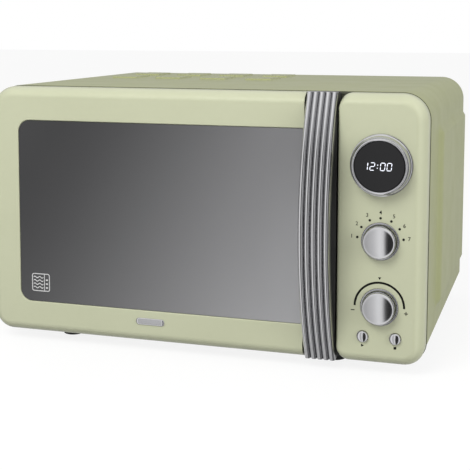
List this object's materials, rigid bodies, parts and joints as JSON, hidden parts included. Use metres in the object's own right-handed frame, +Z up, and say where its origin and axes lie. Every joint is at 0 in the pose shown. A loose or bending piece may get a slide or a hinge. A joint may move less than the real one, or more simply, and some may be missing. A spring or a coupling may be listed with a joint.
{
  "type": "microwave oven",
  "caption": "Countertop microwave oven: steel wrap body, side-hinged window door with a bowed ribbed handle, round display, turn knobs and push buttons.",
  "frame": {"origin": "on the standing surface, under the centre of the bounding box", "axes": "+X to the right seen from the front, +Y to the back, +Z up; the door and controls face -Y"},
  "size_m": [0.452, 0.3714, 0.2636],
  "materials": {
    "cover": "satin sage green paint",
    "moulding": "satin sage green moulding",
    "chrome": "polished chrome",
    "dark_plastic": "dark grey, fine grain",
    "black_gloss": "gloss black",
    "window": "smoked mirror-tinted glass",
    "glass": "clear glass",
    "clear_film": "clear plastic",
    "screen": "black painted steel",
    "steel": "galvanised sheet",
    "cavity_paint": "grey speckled cavity paint",
    "rubber": "matt black",
    "laminate": "varnished laminations",
    "winding": "enamelled copper wire",
    "can": "plain aluminium",
    "board": "green circuit board",
    "white_plastic": "natural white plastic",
    "mica": "pale brown mica"
  },
  "bodies": {
    "oven_body": {"outer_cover": "cover", "base_plate": "steel", "front_frame": "cover", "cavity_liner": "cavity_paint", "rear_panel": "steel", "cord_gland": "rubber", "foot_1": "rubber", "foot_2": "rubber", "foot_3": "rubber", "foot_4": "rubber", "lower_hinge": "steel", "upper_hinge": "steel", "latch_board": "white_plastic", "door_switch_1": "black_gloss", "door_switch_2": "black_gloss", "door_switch_3": "black_gloss", "control_fascia": "moulding", "control_board": "board", "display_bezel": "chrome", "display_lens": "black_gloss", "mode_ring": "chrome", "mode_switch": "dark_plastic", "dial_ring": "chrome", "dial_encoder": "dark_plastic", "turntable_motor": "steel", "waveguide": "steel", "waveguide_cover": "mica", "magnetron": "can", "transformer_core": "laminate", "transformer_winding": "winding", "capacitor": "can", "fan_shroud": "dark_plastic", "fan_motor": "laminate", "filter_board": "board", "cavity_lamp": "glass"},
    "door": {"door_frame": "moulding", "door_window": "window", "door_screen": "screen", "choke_cover": "dark_plastic", "inner_window": "clear_film", "badge": "chrome", "handle_strip": "dark_plastic", "handle_carrier": "dark_plastic", "handle_ribs": "chrome", "handle_screw_1": "steel", "handle_screw_2": "steel"},
    "door_latch": {"door_latch": "white_plastic", "latch_spring": "steel"},
    "turntable_drive": {"turntable_coupler": "white_plastic"},
    "glass_tray": {"glass_tray": "glass"},
    "roller_ring": {"roller_ring": "white_plastic"},
    "roller_1": {"roller_1": "white_plastic"},
    "roller_2": {"roller_2": "white_plastic"},
    "roller_3": {"roller_3": "white_plastic"},
    "mode_knob": {"mode_knob": "chrome"},
    "dial_shaft": {"dial_shaft": "steel"},
    "time_dial": {"time_dial": "chrome"},
    "start_button": {"start_button": "chrome"},
    "cancel_button": {"cancel_button": "chrome"},
    "fan_blade": {"fan_blade": "dark_plastic"}
  },
  "joints": [
    {"name": "door_hinge", "type": "hinge", "parent": "oven_body", "child": "door", "pos_m": [-0.2155, -0.14175, 0.1355], "axis": [0, 0, -1], "range_deg": [0, 105]},
    {"name": "door_latch_slide", "type": "slide", "parent": "door", "child": "door_latch", "axis": [0, 0, 1], "range_m": [0, 0.004], "stiffness_N_per_m": 250, "deforming": ["latch_spring"]},
    {"name": "turntable_spin", "type": "hinge", "parent": "oven_body", "child": "turntable_drive", "pos_m": [-0.046, 0.0177, 0.039], "axis": [0, 0, 1], "continuous": true},
    {"name": "tray_lift", "type": "slide", "parent": "turntable_drive", "child": "glass_tray", "axis": [0, 0, 1], "range_m": [0, 0.025]},
    {"name": "roller_ring_spin", "type": "hinge", "parent": "oven_body", "child": "roller_ring", "pos_m": [-0.046, 0.0177, 0.0443], "axis": [0, 0, 1], "continuous": true},
    {"name": "roller_spin_1", "type": "hinge", "parent": "roller_ring", "child": "roller_1", "pos_m": [-0.046, 0.1097, 0.0443], "axis": [0, 1, 0], "continuous": true},
    {"name": "roller_spin_2", "type": "hinge", "parent": "roller_ring", "child": "roller_2", "pos_m": [-0.12567, -0.0283, 0.0443], "axis": [-0.866, -0.5, 0], "continuous": true},
    {"name": "roller_spin_3", "type": "hinge", "parent": "roller_ring", "child": "roller_3", "pos_m": [0.03367, -0.0283, 0.0443], "axis": [0.866, -0.5, 0], "continuous": true},
    {"name": "mode_knob_turn", "type": "hinge", "parent": "oven_body", "child": "mode_knob", "pos_m": [0.18, -0.16275, 0.1264], "axis": [0, 1, 0], "range_deg": [-82.5, 82.5]},
    {"name": "time_dial_turn", "type": "hinge", "parent": "oven_body", "child": "dial_shaft", "pos_m": [0.18, -0.16275, 0.065], "axis": [0, 1, 0], "continuous": true},
    {"name": "time_dial_press", "type": "slide", "parent": "dial_shaft", "child": "time_dial", "axis": [0, 1, 0], "range_m": [0, 0.0015], "stiffness_N_per_m": 400},
    {"name": "start_button_press", "type": "slide", "parent": "oven_body", "child": "start_button", "axis": [0, 1, 0], "range_m": [0, 0.0015], "stiffness_N_per_m": 400},
    {"name": "cancel_button_press", "type": "slide", "parent": "oven_body", "child": "cancel_button", "axis": [0, 1, 0], "range_m": [0, 0.0015], "stiffness_N_per_m": 400},
    {"name": "fan_spin", "type": "hinge", "parent": "oven_body", "child": "fan_blade", "pos_m": [0.1665, 0.13775, 0.174], "axis": [0, 1, 0], "continuous": true}
  ],
  "couplings": [
    {"joint": "roller_ring_spin", "follows": "turntable_spin", "ratio": 0.5},
    {"joint": "roller_spin_1", "follows": "turntable_spin", "ratio": -5.75},
    {"joint": "roller_spin_2", "follows": "turntable_spin", "ratio": -5.75},
    {"joint": "roller_spin_3", "follows": "turntable_spin", "ratio": -5.75}
  ]
}
